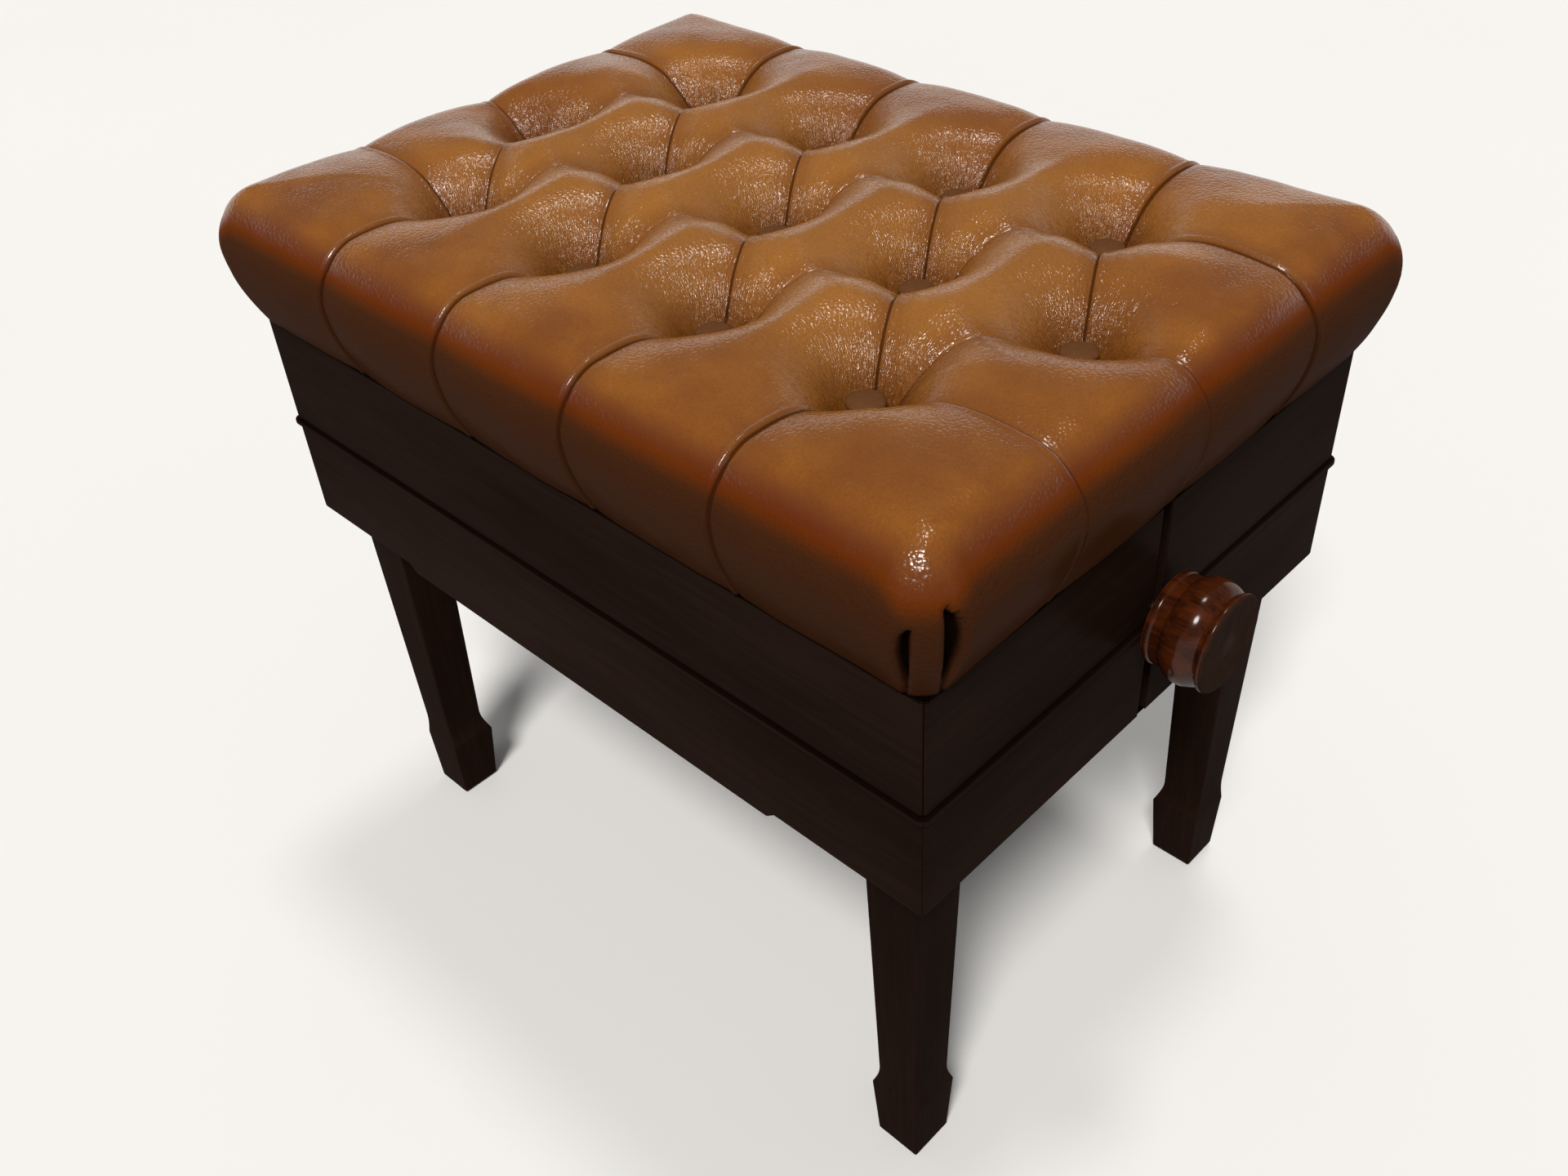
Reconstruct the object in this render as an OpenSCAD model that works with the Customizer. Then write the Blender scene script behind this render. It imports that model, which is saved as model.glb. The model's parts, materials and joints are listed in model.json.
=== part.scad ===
// Adjustable piano bench: a button-tufted cushion on a box frame whose upper half rises on a
// screw-driven scissor. Millimetres, +Z up, +X along the bench, front towards -Y.
// The origin is on the floor, under the centre of the bench.

/* [Box] */
// Length of the wooden box
length = 530; // [500:1:620]
// Depth of the wooden box
depth = 376; // [346:1:426]
// Rounding of the box's upright corners
corner_r = 4; // [2:0.5:8]
// Height of the underside of the base box above the floor
apron_bottom = 270; // [236:1:320]
// Height of the lower band, from its underside to the top of its bead
apron_h = 71; // [66:1:90]
// How far the middle of the front and back aprons hangs below their ends
apron_drop = 5; // [0:0.5:12]
// Length of the deeper middle of the front and back aprons
drop_len = 316; // [200:1:360]
// Height of the upper band
band_h = 72.5; // [66:0.5:90]
// Thickness of the upper band boards
band_t = 16; // [12:0.5:20]
// Height of the bead on the top edge of the lower band
bead_h = 3.6; // [2:0.1:6]
// How far the bead stands out of the band
bead_out = 2.5; // [1:0.1:4]
// Width of the upright groove in the middle of each end
groove_w = 7.5; // [7:0.1:10]
// Depth of that groove
groove_d = 9; // [3:0.5:11]

/* [Inner boards] */
// Thickness of the boards that close the box when the seat is up
inner_t = 10; // [8:0.5:14]
// How far their lower edges stay above the underside of the base box
inner_lift = 11; // [5:1:20]

/* [Legs] */
// Width of the square leg inside the box
leg_w = 37; // [32:0.5:44]
// Width of the leg at the ankle
ankle_w = 29; // [22:0.5:32]
// Width of the spade foot at its shoulder
spade_w = 35; // [30:0.5:40]
// Width of the spade foot at the floor
toe_w = 30; // [22:0.5:34]
// Height of the ankle above the floor
ankle_z = 68; // [56:1:90]
// Height of the spade foot's shoulder
shoulder_z = 50; // [30:1:54]
// Diameter of the glide under each foot
glide_d = 18; // [12:1:22]
// Thickness of the glide
glide_t = 5; // [3:0.5:8]

/* [Cushion] */
// Height of the cushion above the box at the crown
cushion_h = 98; // [86:1:112]
// How far the sides of the cushion bulge past the box
cushion_bulge = 18.5; // [8:0.5:24]
// Rounding of the cushion's corners and of its shoulders
cushion_corner = 32; // [24:1:42]
// Thickness of the board inside the cushion
board_t = 12; // [9:0.5:15]
// Diameter of the covered buttons
button_d = 20; // [12:0.5:24]
// Thickness of the covered buttons
button_h = 6; // [4:0.5:8]
// Depth of the button seats below the crown
tuft_depth = 38; // [22:1:46]
// Distance between buttons along a row
button_pitch = 103; // [80:1:112]
// Distance between the rows of buttons
row_pitch = 98.5; // [70:0.5:110]

/* [Lift] */
// How far the seat rises
lift = 58; // [40:1:60]
// Thickness of the panel that closes the top of the upper band
panel_t = 6; // [5:0.5:9]
// Distance between the end pivots of a scissor arm
arm_span = 300; // [280:1:320]
// Width of a scissor arm
arm_w = 18; // [16:0.5:20]
// Thickness of a scissor arm
arm_t = 4; // [3:0.5:5]
// Diameter of the cross rods and rivets
rod_d = 10; // [8:0.5:11]
// Drop of the base pivots below the top of the base box
base_pivot_drop = 22; // [20:0.5:26]
// Drop of the seat pivots below the panel
seat_pivot_drop = 13; // [12.5:0.5:18]
// Thickness of the rail plates
rail_t = 3; // [2:0.5:4]
// Gap between the ends of the rails and the leg posts
rail_end_gap = 10.5; // [4:0.5:25]

/* [Spindle and knobs] */
// Height of the spindle above the top of the base box
spindle_rise = 5; // [4.5:0.5:8]
// Diameter of the screw
screw_d = 12; // [10:0.5:14]
// Diameter of the shaft ends that carry the knobs
shaft_d = 6.5; // [5:0.1:6.5]
// Greatest diameter of a knob
knob_d = 60; // [50:1:64]
// Gap between a knob and the end of the box
knob_gap = 8; // [5:0.5:12]

/* [Clearances] */
// Gap between the upper band and the lower band when the seat is down
seam_gap = 0.8; // [0.5:0.1:1]
// Gap between the upper band and the inner boards that it slides on
slide_gap = 1.5; // [1:0.1:2]
// Radial clearance of a shaft in its bush or a rod in its pivot hole
running = 0.05; // [0.02:0.01:0.1]
// Clearance of the parts that take up the arc of the scissor arms
arc_gap = 0.8; // [0.7:0.05:1.2]
// Gap that keeps soft or loose pieces off their neighbours
rest_gap = 0.3; // [0.2:0.05:0.4]

/* [Hidden] */
$fn = 64;
half_l = length / 2;
half_d = depth / 2;
apron_t = band_t + slide_gap;
base_top = apron_bottom + apron_h;
band_bottom = base_top + seam_gap;
band_top = band_bottom + band_h;
panel_bottom = band_top - panel_t;

// The posts and inner boards stop just under the panel.
head_gap = 1.5;
post_top = panel_bottom - head_gap;
post_out_x = half_l - apron_t;
post_out_y = half_d - apron_t;
post_in_x = post_out_x - leg_w;
post_in_y = post_out_y - leg_w;
inner_in_x = post_out_x - inner_t;
inner_in_y = post_out_y - inner_t;
inner_bottom = apron_bottom + inner_lift;

// Foot of the leg: the glide stands proud of it, and its narrow parts lean towards the outer faces.
glide_out = 1.5;
ankle_in = 3;
foot_in = 1.5;

// Rails and scissor arms, as distances from the middle plane of the bench.
rail_gap = 7.5;
web_out = inner_in_y - rail_gap;
web_in = web_out - rail_t;
arm_gap = 1.5;
outer_arm_out = web_in - arm_gap;
outer_arm_in = outer_arm_out - arm_t;
inner_arm_out = outer_arm_in - arm_gap;
inner_arm_in = inner_arm_out - arm_t;
rod_end = web_out + 3.5;
rail_end = post_in_x - rail_end_gap;
base_pivot_z = base_top - base_pivot_drop;
seat_pivot_z = panel_bottom - seat_pivot_drop;
rest_angle = asin((seat_pivot_z - base_pivot_z) / arm_span);
top_angle = asin((seat_pivot_z + lift - base_pivot_z) / arm_span);
pivot_x = arm_span / 2 * cos(rest_angle);
foot_travel = arm_span * (cos(rest_angle) - cos(top_angle));
mid_z = (base_pivot_z + seat_pivot_z) / 2;
web_margin = 6;
flange_drop = 24;
seat_flange = 22;

// Spindle, from its screw out to the knobs.
spindle_z = base_top + spindle_rise;
bush_flange = 3;
bush_r = 8;
bush_flange_r = 11;
collar_len = 6;
collar_r = 9;
screw_end = inner_in_x - bush_flange - rest_gap - collar_len;
knob_start = half_l + knob_gap;
knob_len = 36;
shaft_depth = 25;
shaft_end = knob_start + shaft_depth;

// Carriage that joins the screw to the slide rod.
yoke_x = 22;
yoke_y = 34;
nut_r = 9.5;
nut_len = 26;
arc_run = 1.8;

// Screws and bolts.
screw_r = 1.75;
screw_head_r = 3.2;
screw_head_h = 2.4;
bolt_r = 3;
bolt_head_r = 5;
bolt_head_h = 4;
bolt_bite = 9;

// Cushion.
cushion_bottom = band_top + rest_gap;
crown_z = band_top + cushion_h;
board_in = 14;
board_top = band_top + board_t;
tuft_floor = crown_z - tuft_depth;
tuft_flare = 3;
dome_rise = 12;
turn_z = crown_z - dome_rise - cushion_corner;

// ---- shared shapes ----

// Box between two corners.
module block(low, high) {
    translate(low)
        cube(high - low);
}

// Mirror image across the middle of the bench where a sign is negative.
module flip(sx, sy) {
    mirror([sx < 0 ? 1 : 0, 0, 0])
        mirror([0, sy < 0 ? 1 : 0, 0])
            children();
}

// Rod along X or Y between two coordinates of that axis.
module rod_x(x0, x1, y, z, r) {
    translate([x0, y, z])
        rotate([0, 90, 0])
            cylinder(h = x1 - x0, r = r);
}

module rod_y(y0, y1, x, z, r) {
    translate([x, y1, z])
        rotate([90, 0, 0])
            cylinder(h = y1 - y0, r = r);
}

// Rectangle about the origin with round corners.
module round_rect(half_x, half_y, r) {
    square([2 * (half_x - r), 2 * half_y], center = true);
    square([2 * half_x, 2 * (half_y - r)], center = true);
    for (sx = [-1, 1], sy = [-1, 1])
        translate([sx * (half_x - r), sy * (half_y - r)])
            circle(r = r);
}

// Ring of box boards in plan, of one thickness, between two heights.
module box_ring(thick, z0, z1) {
    translate([0, 0, z0])
        linear_extrude(z1 - z0)
            difference() {
                round_rect(half_l, half_d, corner_r);
                square([2 * (half_l - thick), 2 * (half_d - thick)], center = true);
            }
}

// Sides of the box are numbered from the front, 0, by way of the right, 1, and the back, 2, to the
// left, 3. Each is drawn as the front one and turned to its place.
function side_half(side) = side % 2 == 0 ? half_l : half_d;
function side_out(side) = side % 2 == 0 ? half_d : half_l;

// Cut through the bead, with its nose towards +X and its top on the X axis. Its back is buried in
// the band board.
module bead_cut() {
    soft = bead_h / 4;
    buried = 3;
    polygon([
        [-buried, 0],
        [bead_out - soft, 0],
        [bead_out, -soft],
        [bead_out, soft - bead_h],
        [bead_out - soft, -bead_h],
        [-buried, -bead_h]
    ]);
}

// Bead along the top of one side of the lower band, mitred, with round corners.
module bead_side(side) {
    far = side_half(side) + bead_out;
    intersection() {
        translate([0, 0, base_top])
            rotate(90 * side)
                translate([-far, -side_out(side), 0])
                    rotate([90, 0, 90])
                        linear_extrude(2 * far)
                            mirror([1, 0])
                                bead_cut();
        mitre_sector(side);
        translate([0, 0, base_top - bead_h - 1])
            linear_extrude(bead_h + 2)
                round_rect(half_l + bead_out, half_d + bead_out, corner_r + bead_out);
    }
}

// Region of one side of the box, cut by the mitres.
module mitre_sector(side) {
    far = side_half(side) + bead_out + 1;
    out = side_out(side) + bead_out + 1;
    mitre = apron_t + 20;
    translate([0, 0, apron_bottom - apron_drop - 1])
        linear_extrude(band_top - apron_bottom + apron_drop + 2)
            rotate(90 * side)
                polygon([
                    [-far, -out],
                    [far, -out],
                    [far - mitre, mitre - out],
                    [mitre - far, mitre - out]
                ]);
}

// Groove down the middle of both ends of the box.
module end_groove(z0, z1, deep) {
    for (s = [-1, 1])
        block([s > 0 ? half_l - deep : -half_l - bead_out - 1, -groove_w / 2, z0],
              [s > 0 ? half_l + bead_out + 1 : -half_l + deep, groove_w / 2, z1]);
}

// ---- base box ----

// Parts of the ends of the front and back aprons that stop short of the deeper middle.
module apron_relief() {
    slope = 6;
    for (sx = [-1, 1], sy = [-1, 1])
        flip(sx, 1)
            translate([0, sy * half_d + apron_t + 1, 0])
                rotate([90, 0, 0])
                    linear_extrude(2 * apron_t + 2)
                        polygon([
                            [drop_len / 2, apron_bottom - apron_drop - 1],
                            [drop_len / 2, apron_bottom - apron_drop],
                            [drop_len / 2 + slope, apron_bottom],
                            [half_l + 1, apron_bottom],
                            [half_l + 1, apron_bottom - apron_drop - 1]
                        ]);
}

module apron(side) {
    color("#3a281f")
        difference() {
            union() {
                intersection() {
                    box_ring(apron_t, side % 2 == 0 ? apron_bottom - apron_drop : apron_bottom, base_top);
                    mitre_sector(side);
                }
                bead_side(side);
            }
            if (side % 2 == 0)
                apron_relief();
            end_groove(apron_bottom - 1, base_top + 1, groove_d);
            leg_bolt_holes(bolt_r);
        }
}

// ---- legs ----

// Half-widths of the leg about its own centre line, from the floor up. Each entry is
// [height, distance of the outer face, distance of the inner face].
flare_steps = 5;
function flare(k) = let (t = k / flare_steps) [
    shoulder_z + (ankle_z - shoulder_z) * t,
    spade_out() + (ankle_out() - spade_out()) * sin(90 * t),
    spade_back() + (ankle_back() - spade_back()) * sin(90 * t)
];
function ankle_out() = leg_w / 2 - ankle_in;
function ankle_back() = ankle_w - ankle_out();
function spade_out() = leg_w / 2 - foot_in;
function spade_back() = spade_w - spade_out();
function toe_out() = leg_w / 2 - foot_in - 1.5;
function toe_back() = toe_w - toe_out();
leg_profile = concat(
    [[glide_out, toe_out(), toe_back()]],
    [for (k = [0:flare_steps]) flare(k)],
    [[apron_bottom, leg_w / 2, leg_w / 2], [post_top, leg_w / 2, leg_w / 2]]
);

// Side view of the leg, with its outer face towards +X.
module leg_side() {
    polygon(concat(
        [for (p = leg_profile) [p[1], p[0]]],
        [for (k = [len(leg_profile) - 1:-1:0]) [-leg_profile[k][2], leg_profile[k][0]]]
    ));
}

// One leg with its centre on the origin and its outer corner towards +X, +Y.
module leg_blank() {
    intersection() {
        rotate([90, 0, 0])
            translate([0, 0, -leg_w])
                linear_extrude(2 * leg_w)
                    leg_side();
        rotate([90, 0, 90])
            translate([0, 0, -leg_w])
                linear_extrude(2 * leg_w)
                    leg_side();
    }
}

module leg(sx, sy) {
    color("#33241c")
        difference() {
            translate([sx * (post_out_x - leg_w / 2), sy * (post_out_y - leg_w / 2), 0])
                flip(sx, sy)
                    leg_blank();
            leg_bolt_holes(bolt_r + running);
            glide_discs(running);
        }
}

// Glides under the feet, grown by a clearance when they cut their pockets.
module glide_discs(grow) {
    foot = leg_w / 2 - toe_out() + toe_w / 2;
    for (sx = [-1, 1], sy = [-1, 1])
        translate([sx * (post_out_x - foot), sy * (post_out_y - foot), 0])
            cylinder(h = glide_t, r = glide_d / 2 + grow);
}

module glides() {
    color("#8d8577")
        glide_discs(0);
}

// Two bolts hold each leg: one into the end apron, and one higher up into the long apron.
bolt_step = 22;
bolt_low = apron_bottom + bolt_step;
bolt_high = apron_bottom + 2 * bolt_step;
bolt_off = 13;

module at_leg_bolts() {
    for (sx = [-1, 1], sy = [-1, 1]) {
        translate([sx * post_in_x, sy * (post_in_y + bolt_off), bolt_low])
            rotate([0, sx * 90, 0])
                children();
        translate([sx * (post_in_x + bolt_off), sy * post_in_y, bolt_high])
            rotate([-sy * 90, 0, 0])
                children();
    }
}

module leg_bolt_holes(r) {
    at_leg_bolts()
        cylinder(h = leg_w + bolt_bite, r = r);
}

module leg_bolts() {
    color("#9a9a9c")
        at_leg_bolts() {
            cylinder(h = leg_w + bolt_bite, r = bolt_r);
            translate([0, 0, -bolt_head_h])
                cylinder(h = bolt_head_h, r = bolt_head_r, $fn = 6);
        }
}

// ---- inner boards ----

module inner_board_long(sy) {
    color("#2a1d17")
        difference() {
            block([-post_in_x, sy > 0 ? inner_in_y : -post_out_y, inner_bottom],
                  [post_in_x, sy > 0 ? post_out_y : -inner_in_y, post_top]);
            base_rail_screw_shanks();
        }
}

module inner_board_end(sx) {
    color("#2a1d17")
        difference() {
            block([sx > 0 ? inner_in_x : -post_out_x, -post_in_y, inner_bottom],
                  [sx > 0 ? post_out_x : -inner_in_x, post_in_y, post_top]);
            rod_x(-half_l, half_l, 0, spindle_z, bush_r);
        }
}

// ---- rails ----

// Slot for a slide rod, through the rail plates on both sides.
module slide_slot(z) {
    r = rod_d / 2;
    block([-pivot_x - r - arc_gap, -half_d, z - r - arc_gap],
          [-pivot_x + foot_travel + r + arc_gap, half_d, z + r + arc_gap]);
}

module base_rail(sy) {
    foot_z = base_pivot_z - rod_d / 2 - web_margin;
    color("#77777a")
        difference() {
            flip(1, sy)
                union() {
                    block([-rail_end, web_in, foot_z - rail_t],
                          [rail_end, web_out, base_pivot_z + rod_d / 2 + web_margin]);
                    block([-rail_end, web_in, foot_z - rail_t],
                          [rail_end, inner_in_y, foot_z]);
                    block([-rail_end, inner_in_y - rail_t, foot_z - flange_drop],
                          [rail_end, inner_in_y, foot_z]);
                }
            slide_slot(base_pivot_z);
            rod_y(-half_d, half_d, pivot_x, base_pivot_z, rod_d / 2 + running);
            base_rail_screw_shanks();
        }
}

module seat_rail(sy) {
    color("#77777a")
        difference() {
            flip(1, sy)
                union() {
                    block([-rail_end, web_in, seat_pivot_z - rod_d / 2 - web_margin],
                          [rail_end, web_out, panel_bottom]);
                    block([-rail_end, web_out - seat_flange, panel_bottom - rail_t],
                          [rail_end, web_out, panel_bottom]);
                }
            slide_slot(seat_pivot_z);
            rod_y(-half_d, half_d, pivot_x, seat_pivot_z, rod_d / 2 + running);
            seat_rail_screw_shanks();
        }
}

rail_screw_in = 20;
rail_screw_xs = [for (k = [-1:1]) k * (rail_end - rail_screw_in)];
base_screw_z = base_pivot_z - rod_d / 2 - web_margin - flange_drop / 2 - rail_t / 2;
seat_screw_y = web_out - seat_flange + screw_head_r + 0.5;

module at_base_rail_screws() {
    for (sy = [-1, 1], x = rail_screw_xs)
        translate([x, sy * (inner_in_y - rail_t), base_screw_z])
            rotate([-sy * 90, 0, 0])
                children();
}

module base_rail_screw_shanks() {
    at_base_rail_screws()
        cylinder(h = rail_t + inner_t - 2, r = screw_r);
}

module base_rail_screws() {
    color("#a8a8aa") {
        base_rail_screw_shanks();
        at_base_rail_screws()
            translate([0, 0, -screw_head_h])
                cylinder(h = screw_head_h, r = screw_head_r);
    }
}

module at_seat_rail_screws() {
    for (sy = [-1, 1], x = rail_screw_xs)
        translate([x, sy * seat_screw_y, panel_bottom - rail_t])
            children();
}

module seat_rail_screw_shanks() {
    at_seat_rail_screws()
        cylinder(h = rail_t + panel_t - 1, r = screw_r);
}

module seat_rail_screws() {
    color("#a8a8aa") {
        seat_rail_screw_shanks();
        at_seat_rail_screws()
            translate([0, 0, -screw_head_h])
                cylinder(h = screw_head_h, r = screw_head_r);
    }
}

// ---- upper band and panel ----

module band(side) {
    color("#3a281f")
        difference() {
            intersection() {
                box_ring(band_t, band_bottom, band_top);
                mitre_sector(side);
            }
            end_groove(band_bottom - 1, band_top + 1, groove_d);
            end_groove(band_bottom - 1, spindle_z + shaft_d / 2 + 0.5, band_t + 1);
        }
}

module top_panel() {
    color("#b08d62")
        difference() {
            block([-half_l + band_t, -half_d + band_t, panel_bottom],
                  [half_l - band_t, half_d - band_t, band_top]);
            seat_rail_screw_shanks();
            cushion_screw_shanks();
        }
}

// ---- cushion ----

module cushion_board() {
    color("#b08d62")
        difference() {
            block([-half_l + board_in, -half_d + board_in, band_top],
                  [half_l - board_in, half_d - board_in, board_top]);
            cushion_screw_shanks();
        }
}

cushion_screw_end = 95;
cushion_screw_side = 85;

module at_cushion_screws() {
    for (x = [-1, 0, 1], sy = [-1, 1])
        translate([x * (half_l - cushion_screw_end), sy * (half_d - cushion_screw_side), panel_bottom])
            children();
}

module cushion_screw_shanks() {
    at_cushion_screws()
        cylinder(h = panel_t + board_t - 3, r = screw_r);
}

module cushion_screws() {
    color("#a8a8aa") {
        cushion_screw_shanks();
        at_cushion_screws()
            translate([0, 0, -screw_head_h])
                cylinder(h = screw_head_h, r = screw_head_r);
    }
}

// Places of the buttons: four, five and four along the bench.
button_spots = concat(
    [for (row = [-1, 1], k = [-1.5:1:1.5]) [k * button_pitch, row * row_pitch]],
    [for (k = [-2:2]) [k * button_pitch, 0]]
);

// The skin of the cushion is drawn on the unfolded surface of a box, u along the bench and v
// across it, and then wrapped round a plump block. turn_len is the part of it that makes half of
// the turn over a shoulder.
turn_len = PI * cushion_corner / 4;
net_x = half_l + cushion_bulge - cushion_corner + turn_len;
net_y = half_d + cushion_bulge - cushion_corner + turn_len;
net_drop = turn_len + turn_z - cushion_bottom;

// Folds of the leather, each from a button: on the slant to the next row, or straight out over the
// edge and down the side. Each entry is [start, end, true where it ends at a button].
folds = concat(
    [for (row = [-1, 1], k = [-1.5:1:1.5], d = [-0.5, 0.5])
        [[k * button_pitch, row * row_pitch], [(k + d) * button_pitch, 0], true]],
    [for (row = [-1, 1], k = [-1.5:1:1.5])
        [[k * button_pitch, row * row_pitch], [k * button_pitch, row * (net_y + net_drop)], false]],
    [for (s = [-1, 1], row = [-1, 1])
        [[s * 1.5 * button_pitch, row * row_pitch], [s * (net_x + net_drop), row * row_pitch], false]],
    [for (s = [-1, 1])
        [[s * 2 * button_pitch, 0], [s * (net_x + net_drop), 0], false]]
);

// Lines of the net, which pass through every button and follow the folds. Beyond the last line
// that is a whole step from the middle, even ones lead to the edge.
fold_cells = 5;
edge_cells = 4;
function net_side(step, edge) = let (last = floor((edge - 2 * turn_len) / step)) concat(
    [for (k = [1:last]) k * step],
    [for (k = [1:edge_cells]) last * step + (edge - last * step) * k / edge_cells]
);
function net_lines(step, edge) = let (side = net_side(step, edge)) concat(
    [for (k = [len(side) - 1:-1:0]) -side[k]],
    [0],
    side
);
lines_x = net_lines(button_pitch / 2 / fold_cells, net_x);
lines_y = net_lines(row_pitch / fold_cells, net_y);
drops = concat(
    [for (k = [1:2]) turn_len * k / 2],
    [for (k = [1:3]) turn_len + (net_drop - turn_len) * k / 3]
);

function held(value, limit) = min(max(value, -limit), limit);
function past(value, edge) = sign(value) * held((abs(value) - edge) / turn_len + 1, 1)
    * (abs(value) > edge - turn_len ? 1 : 0);
function unit(vector) = vector / norm(vector);

// Share of the full well at a point of the net, 1 at a button.
well_r = button_d / 2 + 0.5;
well_reach = 17;
function well(u, v, spot) = exp(-pow(max(norm([u, v] - spot) - well_r, 0) / well_reach, 1.1));

// Depth of one fold's valley at a point of the net. It widens away from the buttons and fades
// down the side.
valley_depth = 5;
function valley(u, v, fold) = let (
    full = norm(fold[1] - fold[0]),
    way = (fold[1] - fold[0]) / full,
    along = min(max(([u, v] - fold[0]) * way, 0), full),
    gap = norm([u, v] - fold[0] - along * way),
    run = fold[2] ? min(along, full - along) : along,
    fade = fold[2] ? 1 : max(1.15 - along / full, 0.35)
) valley_depth * fade * (1 + 0.7 * exp(-run / 32)) * exp(-pow(gap / min(6 + 0.3 * run, 20), 1.7));

// Point of the skin at u and v on the net, as far down the side as drop says.
function skin(u, v, drop) = let (
    flat_u = held(u, net_x),
    flat_v = held(v, net_y),
    out = unit([
        tan(45 * past(flat_u, net_x)),
        tan(45 * past(flat_v, net_y)),
        tan(45 * max(1 - drop / turn_len, 0))
    ]),
    inside = min(net_x - abs(flat_u), net_y - abs(flat_v)),
    rise = dome_rise * (1 - pow(1 - min(inside / (0.72 * net_y), 1), 2)),
    low = turn_z - max(drop - turn_len, 0),
    level = norm([out.x, out.y]),
    tuck = cushion_bulge * 0.9 * pow(max(1 - (low + cushion_corner * out.z - cushion_bottom)
        / (turn_z - cushion_bottom), 0), 1.7),
    full = [
        held(flat_u, net_x - turn_len) + out.x * (cushion_corner - tuck),
        held(flat_v, net_y - turn_len) + out.y * (cushion_corner - tuck),
        low + cushion_corner * out.z + rise
    ],
    sunk = max([for (spot = button_spots) well(u, v, spot)]) * (full.z - tuft_floor - 1),
    sag = max([for (fold = folds) valley(u, v, fold)])
) full - out * norm([sunk, sag]);

// Rim of the net, from the front left corner round to the right. Each entry is [point number of
// the grid, [u, v], direction out of the net].
nx = len(lines_x);
ny = len(lines_y);
rim = concat(
    [for (i = [0:nx - 2]) [i * ny, [lines_x[i], -net_y], [0, -1]]],
    [for (j = [0:ny - 2]) [(nx - 1) * ny + j, [net_x, lines_y[j]], [1, 0]]],
    [for (i = [nx - 1:-1:1]) [i * ny + ny - 1, [lines_x[i], net_y], [0, 1]]],
    [for (j = [ny - 1:-1:1]) [j, [-net_x, lines_y[j]], [-1, 0]]]
);
ring_len = len(rim);

// Number of a rim point on one ring of the side; ring 0 is the rim of the grid itself.
function ring_point(ring, p) = ring == 0
    ? rim[p % ring_len][0]
    : nx * ny + (ring - 1) * ring_len + p % ring_len;

// True where the fold of a cell's block rises to the right.
function rising(i, j) = let (
    u = (lines_x[i] + lines_x[i + 1]) / 2,
    v = (lines_y[j] + lines_y[j + 1]) / 2
) (floor(2 * u / button_pitch) % 2 == 0) == (v > 0);

module cushion_form() {
    points = concat(
        [for (u = lines_x, v = lines_y) skin(u, v, 0)],
        [for (drop = drops, r = rim) skin(r[1].x + drop * r[2].x, r[1].y + drop * r[2].y, drop)]
    );
    polyhedron(points, concat(
        [for (i = [0:nx - 2], j = [0:ny - 2])
            let (a = i * ny + j, b = a + ny, c = b + 1, d = a + 1)
            each rising(i, j) ? [[a, d, c], [a, c, b]] : [[a, d, b], [b, d, c]]],
        [for (ring = [0:len(drops) - 1], p = [0:ring_len - 1])
            let (a = ring_point(ring, p), b = ring_point(ring, p + 1))
            let (c = ring_point(ring + 1, p + 1), d = ring_point(ring + 1, p))
            each [[a, b, c], [a, c, d]]],
        [[for (p = [0:ring_len - 1]) ring_point(len(drops), p)]]
    ));
}

module cushion() {
    color("#a9652a")
        difference() {
            cushion_form();
            block([-half_l + board_in - rest_gap, -half_d + board_in - rest_gap, band_top - 1],
                  [half_l - board_in + rest_gap, half_d - board_in + rest_gap, board_top + rest_gap]);
            for (p = button_spots)
                translate([p[0], p[1], tuft_floor])
                    cylinder(h = tuft_depth, r1 = button_d / 2 + 1, r2 = button_d / 2 + 1 + tuft_flare,
                             $fn = 16);
        }
}

// Covered buttons: a disc with a domed top.
module buttons() {
    dome = 2.5;
    ball_r = (pow(button_d / 2, 2) + pow(dome, 2)) / (2 * dome);
    color("#6f5543")
        for (p = button_spots)
            translate([p[0], p[1], tuft_floor + rest_gap])
                intersection() {
                    cylinder(h = button_h, r = button_d / 2);
                    translate([0, 0, button_h - ball_r])
                        sphere(r = ball_r);
                }
}

// ---- scissor arms ----

// Side view of an arm about its middle: a bar with round ends and three holes.
module arm_side(centre_r) {
    difference() {
        union() {
            square([arm_span, arm_w], center = true);
            for (s = [-1, 1])
                translate([s * arm_span / 2, 0])
                    circle(r = arm_w / 2);
        }
        for (s = [-1, 1])
            translate([s * arm_span / 2, 0])
                circle(r = rod_d / 2);
        circle(r = centre_r);
    }
}

// Arm between two distances along Y, leaning by an angle that lowers its +X end where positive.
module arm(y0, y1, lean, centre_r) {
    translate([0, y1, mid_z])
        rotate([90, lean, 0])
            linear_extrude(y1 - y0)
                arm_side(centre_r);
}

module outer_arm(sy) {
    color("#8b8b8f")
        arm(sy > 0 ? outer_arm_in : -outer_arm_out, sy > 0 ? outer_arm_out : -outer_arm_in,
            rest_angle, rod_d / 2);
}

module inner_arm(sy) {
    color("#8b8b8f")
        arm(sy > 0 ? inner_arm_in : -inner_arm_out, sy > 0 ? inner_arm_out : -inner_arm_in,
            -rest_angle, rod_d / 2 + arc_gap);
}

// Rivets fixed in the outer arms, with a head on the far side of the inner arms.
module centre_rivets() {
    head = 2;
    color("#a8a8aa")
        for (sy = [-1, 1])
            flip(1, sy) {
                rod_y(inner_arm_in - rest_gap, outer_arm_out, 0, mid_z, rod_d / 2);
                rod_y(inner_arm_in - rest_gap - head, inner_arm_in - rest_gap, 0, mid_z, rod_d / 2 + 3);
            }
}

module cross_rod(x, z) {
    color("#a8a8aa")
        rod_y(-rod_end, rod_end, x, z, rod_d / 2);
}

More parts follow.
